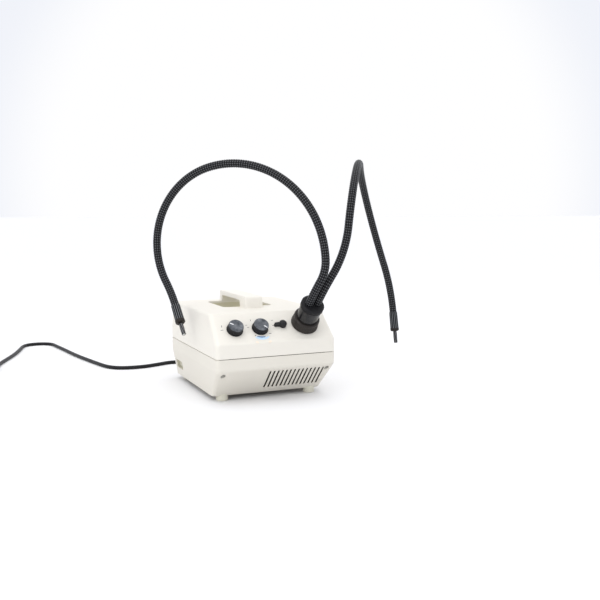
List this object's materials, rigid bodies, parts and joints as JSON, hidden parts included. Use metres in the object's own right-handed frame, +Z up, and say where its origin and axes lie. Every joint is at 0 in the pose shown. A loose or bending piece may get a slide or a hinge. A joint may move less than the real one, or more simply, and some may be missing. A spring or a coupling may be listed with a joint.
{
  "type": "fiber optic illuminator",
  "caption": "Bench cold-light source: cream housing with sloping control panel, carrying handle, knobs, shutter lever and a plug-in light guide with gooseneck arms.",
  "frame": {"origin": "bottom centre of the box round the housing and both arms, on the bench, without the mains lead", "axes": "+X to the housing's right seen from its controls, +Y to its back, +Z up"},
  "size_m": [0.785, 0.7754, 0.384],
  "materials": {
    "cream_housing": "fine-grained cream moulding",
    "rubber_feet": "matt",
    "steel_fasteners": "zinc plated",
    "zinc_sheet": "zinc plated sheet",
    "transformer_winding": "taped winding",
    "circuit_board": "satin",
    "board_components": "satin",
    "black_moulding": "satin black",
    "knob_black": "satin black",
    "knob_cap_grey": "satin charcoal",
    "control_metal": "turned",
    "lamp_glass": "clear",
    "ceramic": "unglazed ceramic",
    "sleeve_metal": "turned",
    "collar_black": "black anodised",
    "head_matte": "matt black",
    "neck_black": "ribbed black sleeve",
    "ferrule_steel": "turned",
    "fibre_glass": "polished fibre ends",
    "lead_black": "black lead",
    "pin_brass": "nickelled"
  },
  "bodies": {
    "housing": {"lower_shell": "cream_housing", "upper_shell": "cream_housing", "carry_handle": "cream_housing", "handle_screws": "steel_fasteners", "feet": "rubber_feet", "case_screws": "steel_fasteners", "chassis_plate": "zinc_sheet", "chassis_screws": "steel_fasteners", "transformer": "transformer_winding", "transformer_clamp": "steel_fasteners", "control_board": "circuit_board", "board_parts": "board_components", "fan_frame": "black_moulding", "fan_screws": "steel_fasteners", "lamp_bracket": "zinc_sheet", "lamp_socket": "ceramic", "lamp": "lamp_glass", "lamp_shield": "zinc_sheet", "heat_filter": "lamp_glass", "socket_sleeve": "sleeve_metal", "power_switch": "black_moulding", "intensity_pot": "control_metal", "fuse_holder": "black_moulding", "strain_relief": "lead_black", "mains_cord": "lead_black", "cord_coil": "lead_black", "cord_tie": "lead_black", "plug_body": "lead_black", "plug_pins": "pin_brass"},
    "power_control": {"power_knob": "knob_black", "power_cap": "knob_cap_grey", "power_shaft": "control_metal"},
    "intensity_control": {"intensity_knob": "knob_black", "intensity_cap": "knob_cap_grey", "intensity_shaft": "control_metal"},
    "shutter": {"shutter_lever": "black_moulding", "shutter_blade": "control_metal"},
    "collar": {"clamp_collar": "collar_black"},
    "fan": {"fan_rotor": "black_moulding"},
    "guide": {"guide_plug": "sleeve_metal", "bundle_face": "fibre_glass"},
    "head": {"guide_head": "collar_black", "head_cap": "head_matte", "left_neck_1": "neck_black", "right_neck_1": "neck_black"},
    "left_arm_2": {"left_neck_2": "neck_black"},
    "left_arm_3": {"left_neck_3": "neck_black"},
    "left_arm_4": {"left_neck_4": "neck_black"},
    "left_arm_5": {"left_neck_5": "neck_black", "left_grip": "head_matte", "left_ferrule": "ferrule_steel", "left_fibre_face": "fibre_glass"},
    "right_arm_2": {"right_neck_2": "neck_black"},
    "right_arm_3": {"right_neck_3": "neck_black"},
    "right_arm_4": {"right_neck_4": "neck_black"},
    "right_arm_5": {"right_neck_5": "neck_black", "right_grip": "head_matte", "right_ferrule": "ferrule_steel", "right_fibre_face": "fibre_glass"}
  },
  "joints": [
    {"name": "power_turn", "type": "hinge", "parent": "housing", "child": "power_control", "pos_m": [-0.13416, -0.10435, 0.11574], "axis": [0, -0.6947, 0.7193], "range_deg": [-130, 30]},
    {"name": "intensity_turn", "type": "hinge", "parent": "housing", "child": "intensity_control", "pos_m": [-0.09266, -0.10442, 0.11568], "axis": [0, -0.6947, 0.7193], "range_deg": [-5, 275]},
    {"name": "shutter_swing", "type": "hinge", "parent": "housing", "child": "shutter", "pos_m": [-0.05356, -0.10169, 0.11832], "axis": [0, -0.6947, 0.7193], "range_deg": [-20, 25]},
    {"name": "collar_turn", "type": "hinge", "parent": "housing", "child": "collar", "pos_m": [-0.01546, -0.1014, 0.11859], "axis": [0, -0.6947, 0.7193], "range_deg": [0, 75]},
    {"name": "fan_spin", "type": "hinge", "parent": "housing", "child": "fan", "pos_m": [-0.03046, 0.11623, 0.06], "axis": [0, 1, 0], "continuous": true},
    {"name": "guide_slide", "type": "slide", "parent": "housing", "child": "guide", "axis": [0, -0.6947, 0.7193], "range_m": [0, 0.038]},
    {"name": "guide_swivel", "type": "hinge", "parent": "guide", "child": "head", "pos_m": [-0.01546, -0.1014, 0.11859], "axis": [0, -0.6947, 0.7193], "range_deg": [-12, 30]},
    {"name": "left_bend_1", "type": "hinge", "parent": "head", "child": "left_arm_2", "pos_m": [-0.00778, -0.16379, 0.21503], "axis": [0.694, 0.7186, -0.0441], "range_deg": [-10, 25]},
    {"name": "left_bend_2", "type": "hinge", "parent": "left_arm_2", "child": "left_arm_3", "pos_m": [-0.05685, -0.10818, 0.34897], "axis": [-0.4089, 0.343, -0.8456], "range_deg": [-25, 25]},
    {"name": "left_bend_3", "type": "hinge", "parent": "left_arm_3", "child": "left_arm_4", "pos_m": [-0.16645, -0.0017, 0.35732], "axis": [-0.69, -0.7235, 0.0197], "range_deg": [-25, 4]},
    {"name": "left_bend_4", "type": "hinge", "parent": "left_arm_4", "child": "left_arm_5", "pos_m": [-0.2157, 0.04159, 0.22273], "axis": [0.7151, -0.6772, 0.1731], "range_deg": [-30, 9]},
    {"name": "right_bend_1", "type": "hinge", "parent": "head", "child": "right_arm_2", "pos_m": [0.01734, -0.15379, 0.21313], "axis": [-0.1616, 0.9865, 0.0251], "range_deg": [-25, 14]},
    {"name": "right_bend_2", "type": "hinge", "parent": "right_arm_2", "child": "right_arm_3", "pos_m": [0.06631, -0.11953, 0.35547], "axis": [0.2481, 0.5564, -0.793], "range_deg": [-25, 25]},
    {"name": "right_bend_3", "type": "hinge", "parent": "right_arm_3", "child": "right_arm_4", "pos_m": [0.14631, 0.00483, 0.34629], "axis": [-0.8691, 0.4057, -0.283], "range_deg": [-25, 25]},
    {"name": "right_bend_4", "type": "hinge", "parent": "right_arm_4", "child": "right_arm_5", "pos_m": [0.20305, 0.02968, 0.20765], "axis": [-0.4727, -0.8497, 0.2335], "range_deg": [-30, 30]}
  ]
}
